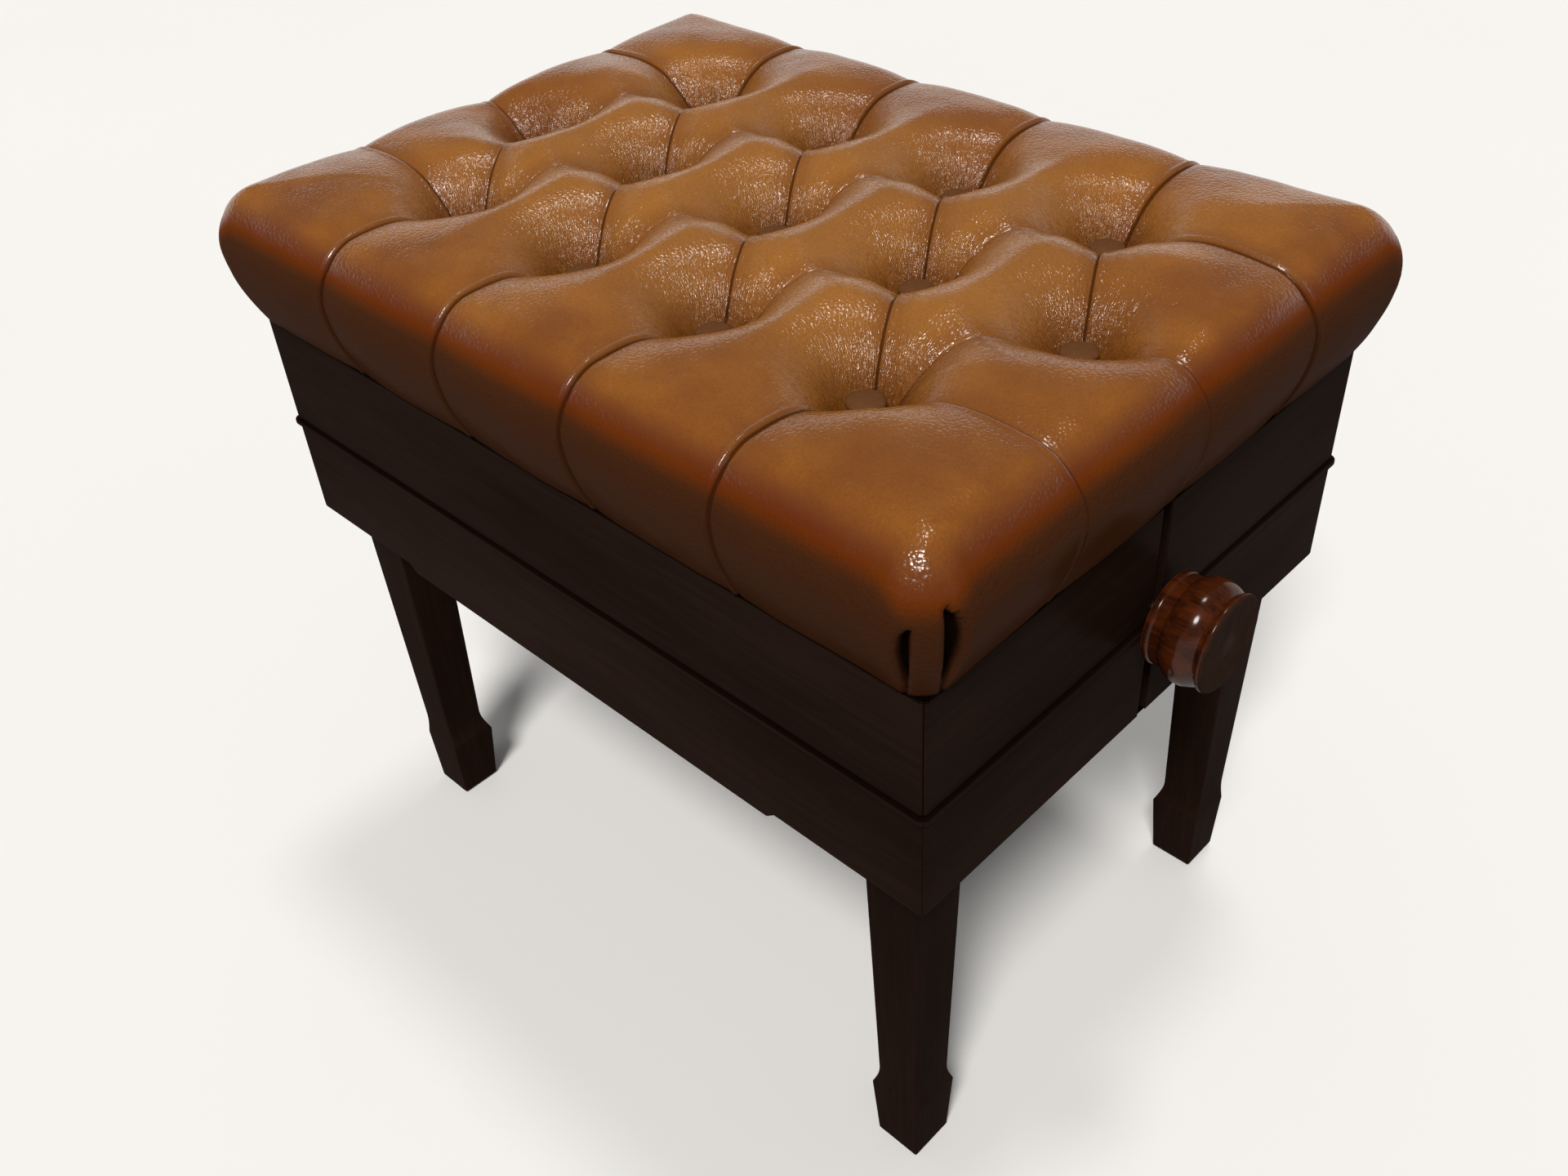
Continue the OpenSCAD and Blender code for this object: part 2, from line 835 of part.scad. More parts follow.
// ---- spindle, carriage and knobs ----

module spindle_bushes() {
    color("#c9a45c")
        for (s = [-1, 1])
            flip(s, 1)
                difference() {
                    union() {
                        rod_x(inner_in_x - bush_flange, inner_in_x, 0, spindle_z, bush_flange_r);
                        rod_x(inner_in_x - bush_flange, post_out_x, 0, spindle_z, bush_r);
                    }
                    rod_x(inner_in_x - bush_flange - 1, half_l, 0, spindle_z, shaft_d / 2 + running);
                }
}

module spindle() {
    color("#9d9da1") {
        rod_x(-screw_end, screw_end, 0, spindle_z, screw_d / 2);
        rod_x(-shaft_end, shaft_end, 0, spindle_z, shaft_d / 2);
    }
}

module thrust_collars() {
    color("#85858a")
        for (s = [-1, 1])
            flip(s, 1)
                difference() {
                    rod_x(screw_end, screw_end + collar_len, 0, spindle_z, collar_r);
                    rod_x(screw_end - 1, screw_end + collar_len + 1, 0, spindle_z, shaft_d / 2);
                }
}

// Turned knob standing on its back face, with its axis along Z: a bead at the back, a fat round
// body, and a round rim about a slightly hollowed face. Narrow grooves part the three.
module knob_form() {
    body_r = knob_len / 2 - 3;
    body_mid = knob_len / 2 + 2;
    bead_r = 2.6;
    bead_edge = knob_d / 2 - 3.5;
    rim_r = 2.2;
    face_r = knob_d / 2 - 2;
    neck_r = knob_d / 2 - 5;
    dish = 1.2;
    dish_edge = face_r - 2 * rim_r;
    dish_r = (pow(dish_edge, 2) + pow(dish, 2)) / (2 * dish);
    difference() {
        rotate_extrude() {
            square([neck_r, knob_len - rim_r]);
            translate([bead_edge - bead_r, bead_r])
                circle(r = bead_r);
            square([bead_edge - bead_r, 2 * bead_r]);
            translate([knob_d / 2 - body_r, body_mid])
                circle(r = body_r);
            translate([face_r - rim_r, knob_len - rim_r])
                circle(r = rim_r);
            square([face_r - rim_r, knob_len]);
        }
        translate([0, 0, knob_len - dish + dish_r])
            sphere(r = dish_r);
        translate([0, 0, -1])
            cylinder(h = shaft_depth + 1, r = shaft_d / 2);
    }
}

module knob(s) {
    color("#5a2d17")
        translate([s * knob_start, 0, spindle_z])
            rotate([0, s * 90, 0])
                knob_form();
}

// Block that holds the nut on the screw and carries the slide rod in an upright slot below it.
module carriage_yoke() {
    r = rod_d / 2;
    color("#6f6f73")
        difference() {
            block([-pivot_x - yoke_x / 2, -yoke_y / 2, base_pivot_z - r - web_margin],
                  [-pivot_x + yoke_x / 2, yoke_y / 2, spindle_z + nut_r + 4]);
            rod_x(-pivot_x - yoke_x, -pivot_x + yoke_x, 0, spindle_z, nut_r);
            block([-pivot_x - r - arc_run, -yoke_y, base_pivot_z - r - arc_gap],
                  [-pivot_x + r + rest_gap, yoke_y, base_pivot_z + r + arc_gap]);
        }
}

module lead_nut() {
    color("#c9a45c")
        difference() {
            rod_x(-pivot_x - nut_len / 2, -pivot_x + nut_len / 2, 0, spindle_z, nut_r);
            rod_x(-pivot_x - nut_len, -pivot_x + nut_len, 0, spindle_z, screw_d / 2 + running);
        }
}

// ---- nodes ----

apron(0);  // apron_front
apron(1);  // apron_right
apron(2);  // apron_back
apron(3);  // apron_left
leg(-1, -1);  // leg_front_left
leg(1, -1);  // leg_front_right
leg(-1, 1);  // leg_back_left
leg(1, 1);  // leg_back_right
glides();
leg_bolts();
inner_board_long(-1);  // inner_board_front
inner_board_long(1);  // inner_board_back
inner_board_end(-1);  // inner_board_left
inner_board_end(1);  // inner_board_right
base_rail(-1);  // base_rail_front
base_rail(1);  // base_rail_back
base_rail_screws();
spindle_bushes();
band(0);  // band_front
band(1);  // band_right
band(2);  // band_back
band(3);  // band_left
top_panel();
seat_rail(-1);  // seat_rail_front
seat_rail(1);  // seat_rail_back
seat_rail_screws();
cushion_board();
cushion_screws();
cushion();
buttons();
outer_arm(-1);  // outer_arm_front
outer_arm(1);  // outer_arm_back
cross_rod(pivot_x, base_pivot_z);  // base_pivot_rod
cross_rod(-pivot_x, seat_pivot_z);  // seat_slide_rod
centre_rivets();
inner_arm(-1);  // inner_arm_front
inner_arm(1);  // inner_arm_back
cross_rod(pivot_x, seat_pivot_z);  // seat_pivot_rod
cross_rod(-pivot_x, base_pivot_z);  // base_slide_rod
spindle();
thrust_collars();
knob(-1);  // knob_left
knob(1);  // knob_right
carriage_yoke();
lead_nut();
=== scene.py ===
# %% [markdown]
# # An adjustable piano bench
#
# The bench is a dark wooden box on four legs with spade feet. Its upper half slides up over the
# lower half when either knob is turned, and a button-tufted leather cushion sits on top.
# The solids of the working parts come in as a fixed frame, and the script adds what they lack:
# eased wooden edges, the folds and wrinkles of the leather, and a finish for every surface.

# %% The frame
import json
import math

import bmesh
import bpy
import numpy as np
from mathutils import Euler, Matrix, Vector, noise

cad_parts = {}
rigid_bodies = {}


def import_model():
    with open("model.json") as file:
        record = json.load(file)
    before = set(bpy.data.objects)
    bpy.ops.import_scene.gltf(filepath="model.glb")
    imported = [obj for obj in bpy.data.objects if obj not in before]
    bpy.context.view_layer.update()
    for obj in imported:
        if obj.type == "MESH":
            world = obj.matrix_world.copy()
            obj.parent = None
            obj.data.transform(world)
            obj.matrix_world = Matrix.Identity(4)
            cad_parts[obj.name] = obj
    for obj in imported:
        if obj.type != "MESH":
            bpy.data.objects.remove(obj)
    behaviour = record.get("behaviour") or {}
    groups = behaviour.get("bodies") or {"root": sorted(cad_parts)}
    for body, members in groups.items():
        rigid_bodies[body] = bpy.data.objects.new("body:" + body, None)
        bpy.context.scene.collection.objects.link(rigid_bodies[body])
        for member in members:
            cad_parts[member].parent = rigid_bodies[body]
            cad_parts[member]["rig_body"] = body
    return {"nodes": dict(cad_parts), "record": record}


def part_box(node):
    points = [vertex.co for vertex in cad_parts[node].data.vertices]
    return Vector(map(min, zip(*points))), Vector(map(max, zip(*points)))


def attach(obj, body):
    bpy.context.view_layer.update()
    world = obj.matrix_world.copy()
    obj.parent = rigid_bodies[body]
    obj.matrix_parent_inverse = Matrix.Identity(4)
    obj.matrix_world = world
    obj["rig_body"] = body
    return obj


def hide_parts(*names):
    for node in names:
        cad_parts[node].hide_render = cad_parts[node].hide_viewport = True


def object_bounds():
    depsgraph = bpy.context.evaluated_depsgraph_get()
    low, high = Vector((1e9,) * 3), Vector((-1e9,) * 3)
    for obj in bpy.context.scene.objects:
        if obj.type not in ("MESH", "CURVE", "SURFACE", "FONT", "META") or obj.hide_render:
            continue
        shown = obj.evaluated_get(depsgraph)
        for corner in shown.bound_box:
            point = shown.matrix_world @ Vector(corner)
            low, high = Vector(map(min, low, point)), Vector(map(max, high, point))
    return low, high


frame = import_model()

bpy.context.view_layer.update()
cad_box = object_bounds()
cad_spans = [round(s, 3) for s in cad_box[1] - cad_box[0]]
print("the frame has", len(frame["nodes"]), "nodes and spans", cad_spans)

# %% [markdown]
# ## The camera
#
# A bench is usually looked at from a standing height, a little in front of one corner, so that the
# top and two sides show. A camera can be aimed with a constraint, but three angles say the same
# thing in a way that can be read: its heading, how far it looks down, and its tilt.

# %% Camera
camera_data = bpy.data.cameras.new("camera")
camera_data.sensor_width = 36.0
camera_data.lens = 34.46
camera = bpy.data.objects.new("camera", camera_data)
bpy.context.scene.collection.objects.link(camera)
bpy.context.scene.camera = camera

look_heading = math.radians(46.38)
look_down = math.radians(39.50)
look_tilt = math.radians(-3.97)
camera.location = (0.5578, -0.5444, 0.8617)
camera.rotation_mode = "QUATERNION"
camera.rotation_quaternion = (
    Euler((math.pi / 2 - look_down, 0, look_heading)).to_quaternion()
    @ Euler((0, 0, look_tilt)).to_quaternion()
)
bpy.context.scene.view_settings.view_transform = "Standard"
print("the camera is", round((camera.location - Vector((0, 0, 0.3))).length, 2), "m from the bench")

# %% [markdown]
# ## A first tool for finishes
#
# Every finish below is a small program of shader nodes. Wiring them by hand takes many lines, so
# one class wraps a node's output and lets it stand in ordinary sums: `1 - mask` adds the Math node
# that it means. Its `node` method adds any other node, given the node's settings first and then
# the values or links of its sockets.

# %% Wire
class Wire:
    """A node's output that can be used in sums."""

    def __init__(self, tree, socket=None):
        self.tree = tree
        self.socket = socket

    def node(self, kind, settings=None, inputs=None, out=0):
        made = self.tree.nodes.new("ShaderNode" + kind)
        for name, value in (settings or {}).items():
            setattr(made, name, value)
        for name, value in (inputs or {}).items():
            self.feed(made.inputs[name], value)
        return Wire(self.tree, made.outputs[out])

    def feed(self, socket, value):
        if isinstance(value, Wire):
            self.tree.links.new(value.socket, socket)
        elif socket.type == "RGBA":
            socket.default_value = (*value, 1.0)
        else:
            socket.default_value = value

    def sum(self, operation, first, second):
        return self.node("Math", {"operation": operation}, {0: first, 1: second})

    def __add__(self, other):
        return self.sum("ADD", self, other)

    def __radd__(self, other):
        return self.sum("ADD", other, self)

    def __sub__(self, other):
        return self.sum("SUBTRACT", self, other)

    def __rsub__(self, other):
        return self.sum("SUBTRACT", other, self)

    def __mul__(self, other):
        return self.sum("MULTIPLY", self, other)

    def __rmul__(self, other):
        return self.sum("MULTIPLY", other, self)

    def size(self):
        return self.sum("ABSOLUTE", self, 0.0)

    def between(self, low, high, start=0.0, end=1.0):
        """start below low, end above high, and a smooth rise between them."""
        return self.node(
            "MapRange",
            {"interpolation_type": "SMOOTHSTEP"},
            {"Value": self, "From Min": low, "From Max": high, "To Min": start, "To Max": end},
        )


print("Wire can add, take away, multiply and smooth")

# %% [markdown]
# A few short helpers then cover what every finish needs: to mix two colours, to stretch a texture
# along one axis, to make noise of a given size in metres, to turn a height into a bump, and to
# wrap it all up as a material. Some surfaces are shiny in one place and dull in another, which
# one shader can't be, so a material may hold two shaders and a share that says which one shows.

# %% Mix, stretch, noise, finish and bump
def mix(share, first, second):
    """The first colour where share is 0 and the second where it is 1."""
    wire = next(w for w in (share, first, second) if isinstance(w, Wire))
    return wire.node("Mix", {"data_type": "RGBA"}, {0: share, 6: first, 7: second}, out=2)


def stretched(place, along, factors):
    """Coordinates squeezed along one axis, so that a texture on them is long in that direction."""
    scale = [factors[1]] * 3
    scale["XYZ".index(along)] = factors[0]
    return place.node("VectorMath", {"operation": "MULTIPLY"}, {0: place, 1: scale})


def noise_on(place, size, detail=2.0, rough=0.5, distortion=0.0):
    """Noise whose blotches are about size metres across."""
    return place.node(
        "TexNoise",
        None,
        {
            "Vector": place,
            "Scale": 1.0 / size,
            "Detail": detail,
            "Roughness": rough,
            "Distortion": distortion,
        },
    )


def finish(name, plain, vary, dull=None):
    """A material with plain numbers on its shader's sockets, and vary's wires on those that change.
    Where vary's share called dull is 1, a twin shader with the dull numbers takes over."""
    material = bpy.data.materials.new(name)
    material.use_nodes = True
    tree = material.node_tree
    surface = tree.nodes["Principled BSDF"]
    ground = Wire(tree)
    wires = vary(ground.node("TexCoord", out=3))
    share = wires.pop("dull", None)
    for socket, value in {**plain, **wires}.items():
        ground.feed(surface.inputs[socket], value)
    if dull:
        twin = ground.node("BsdfPrincipled", None, {**dull, **wires})
        both = twin.node("MixShader", None, {0: share, 1: Wire(tree, surface.outputs[0]), 2: twin})
        ground.feed(tree.nodes["Material Output"].inputs["Surface"], both)
    return material


def bump(place, height, depth, strength=1.0, under=None):
    """A bump normal from a height of 0 to 1 that stands for depth metres. It can lie over another."""
    inputs = {"Height": height, "Distance": depth, "Strength": strength}
    if under:
        inputs["Normal"] = under
    return place.node("Bump", None, inputs)


print("the helpers are", [tool.__name__ for tool in (mix, stretched, noise_on, finish, bump)])

# %% [markdown]
# ## The wood
#
# The box and legs are lacquered so dark that the grain shows only as a faint change in the sheen.
# One recipe serves every board: streaks of noise stretched along the board's length for the
# grain, a broad and slow change of tone, and fine pores in the bump. Each board needs its own
# direction, so the recipe is a function of the axis that the grain follows. Where the two halves
# of the box meet and under the cushion, a thin line of painted shade darkens the lacquer almost
# to black.

# %% Dark wood
joint_heights = (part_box("band_front")[0].z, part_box("band_front")[1].z)
# the colour of the painted shade in the joints, almost black
joint_shade = (0.0015, 0.0008, 0.0006)


def dark_wood(along, deep=(0.0115, 0.0053, 0.0031), light=(0.0250, 0.0118, 0.0072)):
    def vary(place):
        grain = noise_on(stretched(place, along, (0.06, 1.0)), 0.0035, detail=4.0, rough=0.6)
        tone = noise_on(stretched(place, along, (0.35, 1.0)), 0.07)
        pores = noise_on(stretched(place, along, (0.25, 1.0)), 0.0009)
        share = grain * 0.55 + tone * 0.65 - 0.15
        lacquer = mix(share.between(0.1, 0.8), deep, light)
        height = place.node("SeparateXYZ", None, {0: place}, out=2)
        # painted shade: a thin line at the joint between the halves and under the cushion is darkened
        # almost to black
        for joint in joint_heights:
            shaded_joint = (height - joint).size().between(0.0006, 0.0013, 0.8, 0.0)
            lacquer = mix(shaded_joint, lacquer, joint_shade)
        return {
            "Base Color": lacquer,
            "Roughness": grain * 0.12 + tone * 0.12 + 0.32,
            "Coat Weight": tone * 0.04 + 0.015,
            "Normal": bump(place, grain * 0.4 + pores, 0.00018, 0.55),
        }

    return finish("dark_wood_" + along, {"Specular IOR Level": 0.0, "Coat Roughness": 0.28}, vary)


wood = {axis: dark_wood(axis) for axis in "XYZ"}
inner_wood = {}
for axis in "XY":
    inner_wood[axis] = dark_wood(axis, (0.007, 0.004, 0.003), (0.018, 0.011, 0.008))
    inner_wood[axis].name = "inner_wood_" + axis
print("made", len(wood) + len(inner_wood), "wood finishes")

# %% [markdown]
# The knobs are turned from a redder wood and polished, so their finish has a clear coat over
# figured grain. Their flat ends show end grain, which drinks the polish and stays dark and dull,
# so the finish changes over the last two millimetres of each knob. The two boards that nobody
# sees from above are bare plywood.

# %% Knob wood and plywood
knob_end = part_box("knob_right")[1].x


def knob_wood():
    def vary(place):
        figure = noise_on(stretched(place, "X", (0.3, 1.0)), 0.009, detail=3.0, distortion=0.6)
        fleck = noise_on(stretched(place, "X", (0.12, 1.0)), 0.0016, detail=3.0, rough=0.6)
        share = (figure * 0.8 + fleck * 0.5 - 0.15).between(0.15, 0.8)
        from_middle = place.node("SeparateXYZ", None, {0: place}).size()
        face = from_middle.between(knob_end - 0.0020, knob_end - 0.0009)
        side_grain = mix(share, (0.012, 0.0030, 0.0013), (0.090, 0.019, 0.0044))
        end_grain = mix(share, (0.026, 0.0125, 0.0078), (0.040, 0.0195, 0.0125))
        return {
            "Base Color": mix(face, side_grain, end_grain),
            "Roughness": fleck * 0.14 + 0.30,
            "Coat Weight": face.between(0.0, 1.0, 0.45, 0.02),
            "Normal": bump(place, fleck, 0.00008, 0.4),
        }

    return finish("knob_wood", {"Specular IOR Level": 0.0, "Coat Roughness": 0.15}, vary)


def plywood():
    def vary(place):
        grain = noise_on(stretched(place, "X", (0.05, 1.0)), 0.004, detail=4.0, rough=0.6)
        tone = noise_on(place, 0.06)
        share = (grain * 0.7 + tone * 0.5 - 0.1).between(0.1, 0.9)
        return {
            "Base Color": mix(share, (0.30, 0.185, 0.095), (0.47, 0.32, 0.18)),
            "Roughness": grain * 0.15 + 0.55,
            "Normal": bump(place, grain, 0.0002, 0.5),
        }

    return finish("plywood", {}, vary)


knob_finish = knob_wood()
ply_finish = plywood()
print("made", knob_finish.name, "and", ply_finish.name)

# %% [markdown]
# ## The metals and the glides
#
# The lift is plain hardware: arms and rails in satin black paint, rods and screws in zinc plate,
# and a brass nut and bushes. A metal looks real when its roughness wanders, so each has a fine
# noise on it, and the paint has a slight orange peel.

# %% Hardware finishes
def metal(name, colour, roughness, spread):
    def vary(place):
        wander = noise_on(place, 0.004, detail=3.0)
        scratches = noise_on(stretched(place, "X", (0.08, 1.0)), 0.0006)
        return {
            "Base Color": mix(wander, [0.8 * c for c in colour], colour),
            "Roughness": wander * spread + roughness,
            "Normal": bump(place, scratches, 0.00003, 0.4),
        }

    return finish(name, {"Metallic": 1.0}, vary)


def painted_steel():
    def vary(place):
        peel = noise_on(place, 0.0016, detail=1.0)
        rubbed = noise_on(place, 0.03)
        return {
            "Base Color": mix(rubbed, (0.020, 0.020, 0.022), (0.045, 0.045, 0.047)),
            "Roughness": peel * 0.08 + rubbed * 0.12 + 0.34,
            "Normal": bump(place, peel, 0.00006, 0.5),
        }

    return finish("painted_steel", {}, vary)


def glide_nylon():
    def vary(place):
        scuff = noise_on(place, 0.002, detail=3.0)
        return {
            "Base Color": mix(scuff, (0.16, 0.145, 0.125), (0.27, 0.25, 0.22)),
            "Roughness": scuff * 0.2 + 0.45,
            "Normal": bump(place, scuff, 0.00008, 0.5),
        }

    return finish("glide_nylon", {}, vary)


steel_finish = metal("bright_steel", (0.56, 0.56, 0.58), 0.24, 0.16)
brass_finish = metal("brass", (0.72, 0.50, 0.20), 0.22, 0.18)
paint_finish = painted_steel()
nylon_finish = glide_nylon()
print("made", [m.name for m in (steel_finish, brass_finish, paint_finish, nylon_finish)])

# %% [markdown]
# Each node of the frame names the slot that its finish belongs to. One table from slot to
# finish dresses them all, and the boards get the wood whose grain runs along them.

# %% Dress the frame
slot_finish = {
    "plywood": ply_finish,
    "knob_wood": knob_finish,
    "glide_nylon": nylon_finish,
    "brass": brass_finish,
    "painted_steel": paint_finish,
    "bright_steel": steel_finish,
}
slot_of = {part["node"]: part["material_slot"] for part in frame["record"]["subparts"]}


def grain_axis(name):
    low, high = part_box(name)
    spans = high - low
    return "XYZ"[max(range(3), key=lambda i: spans[i])]


def finish_of(name):
    slot = slot_of[name]
    if slot == "dark_wood":
        return wood[grain_axis(name)]
    if slot == "inner_wood":
        return inner_wood[grain_axis(name)]
    return slot_finish.get(slot)


for name, node in frame["nodes"].items():
    dressing = finish_of(name)
    if dressing:
        for slot in node.material_slots:
            slot.material = dressing
print("dressed", len(frame["nodes"]), "nodes")

# %% [markdown]
# ## Eased edges
#
# No joiner leaves a sharp corner on a bench: every edge is rubbed down before the lacquer goes
# on, and it is the thin light along those edges that makes wood look like wood. A Bevel modifier
# would do it, but the bead needs a finer rounding than the boards, so the copy of each board is
# bevelled in two passes with bmesh. Faces that lie flat together are joined first. Where two
# boards meet in a glued mitre their edges stay sharp, or rounding both would open the joint.

# %% Ease the boards and legs
board_ease = 0.0011
bead_ease = 0.0005
bead_zone = 0.0045
crisp_angle = math.radians(40)


def sharp_edges(shape, test):
    steep = math.radians(28)
    return [e for e in shape.edges if e.is_manifold and e.calc_face_angle(0.0) > steep and test(e)]


def ease(name, passes):
    """Put a copy with soft edges in the place of a wooden node."""
    shape = bmesh.new()
    shape.from_mesh(frame["nodes"][name].data)
    bmesh.ops.remove_doubles(shape, verts=shape.verts, dist=1e-5)
    bmesh.ops.dissolve_limit(shape, angle_limit=math.radians(1), verts=shape.verts, edges=shape.edges)
    for test, width in passes:
        bmesh.ops.bevel(
            shape,
            geom=sharp_edges(shape, test),
            offset=width,
            segments=3,
            profile=0.5,
            affect="EDGES",
            clamp_overlap=False,
        )
    bmesh.ops.triangulate(shape, faces=[f for f in shape.faces if len(f.verts) > 4])
    for face in shape.faces:
        face.smooth = True
    for edge in shape.edges:
        edge.smooth = edge.calc_face_angle(0.0) < crisp_angle
    mesh = bpy.data.meshes.new(name + "_eased")
    shape.to_mesh(mesh)
    shape.free()
    mesh.materials.append(finish_of(name))
    piece = bpy.data.objects.new(name + "_eased", mesh)
    bpy.context.scene.collection.objects.link(piece)
    weighted = piece.modifiers.new("flat faces stay flat", "WEIGHTED_NORMAL")
    weighted.keep_sharp = True
    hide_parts(name)
    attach(piece, frame["nodes"][name]["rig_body"])


bead_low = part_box("apron_front")[1].z - bead_zone
box_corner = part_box("apron_front")[1].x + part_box("apron_front")[0].y


def on_bead(edge):
    return max(v.co.z for v in edge.verts) > bead_low


def on_mitre(edge):
    """Boards meet here and are glued, so the joint is left sharp and closed."""
    return all(abs(abs(v.co.x) - abs(v.co.y) - box_corner) < 0.0003 for v in edge.verts)


aprons = [n for n in frame["nodes"] if n.startswith("apron_")]
bands = [n for n in frame["nodes"] if n.startswith("band_")]
legs = [n for n in frame["nodes"] if n.startswith("leg_") and n != "leg_bolts"]
for name in aprons:
    ease(
        name,
        [
            (lambda e: not on_bead(e) and not on_mitre(e), board_ease),
            (lambda e: on_bead(e) and not on_mitre(e), bead_ease),
        ],
    )
for name in bands + legs:
    ease(name, [(lambda e: not on_mitre(e), board_ease)])
print("eased", len(aprons + bands + legs), "wooden pieces")

# %% [markdown]
# ## The cushion: its net
#
# Deep buttoning pulls leather down at each button, and the slack between the buttons is folded
# into pleats that run from button to button and over the edges. Those folds have to fall exactly
# on the mesh's own lines, or they turn ragged. So the cushion is drawn on a net, the unfolded
# surface of a box, whose lines pass through every button and whose cells are cut along the
# diagonals where the slanting folds run.

# %% Net of the cushion
low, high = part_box("cushion")
button_low, button_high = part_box("buttons")
button_r = 0.010
pitch = (button_high.x - button_r) / 2
row = button_high.y - button_r
edge_r = 0.032
arc = math.pi * edge_r / 4
dome = 0.012
tuck = 0.0165
half_x, half_y = high.x, high.y
net_x, net_y = half_x - edge_r + arc, half_y - edge_r + arc
side_h = high.z - dome - edge_r - low.z
net_h = arc + side_h
per_block = 34
border_step = 0.0021
rings = 32


def net_lines(block, edge):
    """Lines that crowd towards the block's edges, where the folds are, and even ones beyond."""
    count = int((edge - 2 * arc) / block * per_block)
    t = np.arange(1, count + 1) / per_block
    t -= 0.45 * np.sin(2 * math.pi * t) / (2 * math.pi)
    border = np.linspace(t[-1] * block, edge, 1 + round((edge - t[-1] * block) / border_step))[1:]
    plus = np.concatenate([t * block, border])
    return np.concatenate([-plus[::-1], [0.0], plus])


lines_x = net_lines(pitch / 2, net_x)
lines_y = net_lines(row, net_y)
drops = np.linspace(0, net_h, rings + 1)[1:]
print("the net has", len(lines_x), "by", len(lines_y), "lines on top and", len(drops), "rings")

# %% [markdown]
# The top of the net is a grid of points, and the sides hang from its rim as rings. Each point
# keeps its place on the unfolded net, u and v, because the folds are straight lines there.

# %% Points and faces of the net
top_u, top_v = (a.ravel() for a in np.meshgrid(lines_x, lines_y, indexing="ij"))
nx, ny = len(lines_x), len(lines_y)
grid = np.arange(nx * ny).reshape(nx, ny)
rim = np.concatenate([grid[:-1, 0], grid[-1, :-1], grid[:0:-1, -1], grid[0, :0:-1]])
front, right = nx - 1, ny - 1
rim_side = np.repeat([0, 1, 2, 3], [front, right, front, right])
outward = np.array([[0, -1], [1, 0], [0, 1], [-1, 0]])[rim_side]
rim_uv = np.stack([top_u[rim], top_v[rim]], 1)

u = [top_u]
v = [top_v]
down = [np.zeros(nx * ny)]
for drop in drops:
    u.append(rim_uv[:, 0] + outward[:, 0] * drop)
    v.append(rim_uv[:, 1] + outward[:, 1] * drop)
    down.append(np.full(len(rim), drop))
u, v, down = (np.concatenate(part) for part in (u, v, down))
cube_u, cube_v = np.clip(u, -net_x, net_x), np.clip(v, -net_y, net_y)

faces = []
for i in range(nx - 1):
    for j in range(ny - 1):
        a, b, c, d = grid[i, j], grid[i + 1, j], grid[i + 1, j + 1], grid[i, j + 1]
        mid_x, mid_y = (lines_x[i] + lines_x[i + 1]) / 2, (lines_y[j] + lines_y[j + 1]) / 2
        block = math.floor(mid_x / (pitch / 2)) % 2 == 0
        rising = block == (mid_y > 0)
        faces += [(a, b, c), (a, c, d)] if rising else [(a, b, d), (b, c, d)]
ring_before = rim
for k in range(len(drops)):
    ring = nx * ny + k * len(rim) + np.arange(len(rim))
    for p in range(len(rim)):
        q = (p + 1) % len(rim)
        faces.append((ring[p], ring[q], ring_before[q], ring_before[p]))
    ring_before = ring
last_ring = ring_before
print("the net has", len(u), "points and", len(faces), "faces")

# %% [markdown]
# ## The cushion: its plain form
#
# The net is wrapped round a plump block before any button pulls on it. Points near an edge lie on
# a quarter turn, and those near a corner on a rounded corner, as on a cube that is blown towards
# a ball. The top then rises to a low crown, and the sides swell out and tuck in at the bottom.

# %% Wrap the net
def beyond(value, half):
    """How far a coordinate lies past the flat part, from 0 to 1 at the net's edge."""
    return np.sign(value) * np.clip((np.abs(value) - (half - arc)) / arc, 0, 1)


past_x, past_y = beyond(cube_u, net_x), beyond(cube_v, net_y)
past_z = 1 - np.clip(down / arc, 0, 1)
ball = np.stack([np.tan(a * math.pi / 4) for a in (past_x, past_y, past_z)], 1)
ball /= np.linalg.norm(ball, axis=1)[:, None]
core = np.stack(
    [
        np.clip(cube_u, arc - net_x, net_x - arc),
        np.clip(cube_v, arc - net_y, net_y - arc),
        (high.z - dome - edge_r) - np.clip(down - arc, 0, None),
    ],
    1,
)
form = core + edge_r * ball

inside = np.minimum(net_x - np.abs(cube_u), net_y - np.abs(cube_v))
rise = dome * (1 - (1 - np.clip(inside / (net_y * 0.72), 0, 1)) ** 2)
form[:, 2] += np.where(down > 0, 0, rise)
up_side = np.clip((form[:, 2] - low.z) / side_h, 0, 1)
outside = np.stack([ball[:, 0], ball[:, 1], np.zeros(len(ball))], 1)
level = np.linalg.norm(outside, axis=1)
outside /= np.maximum(level, 1e-9)[:, None]
form -= outside * (tuck * np.clip(1 - up_side, 0, 1) ** 1.7 * level)[:, None]
print("the plain cushion is", [round(s, 3) for s in form.max(0) - form.min(0)], "m")

# %% [markdown]
# ## The cushion: buttons and folds
#
# Now the list of folds. Each starts at a button. Sixteen run on the slant to the next row, and
# fourteen run straight out over an edge and down the side. Every fold has one lip that lies over
# the other side, so it also says on which side the lip is.

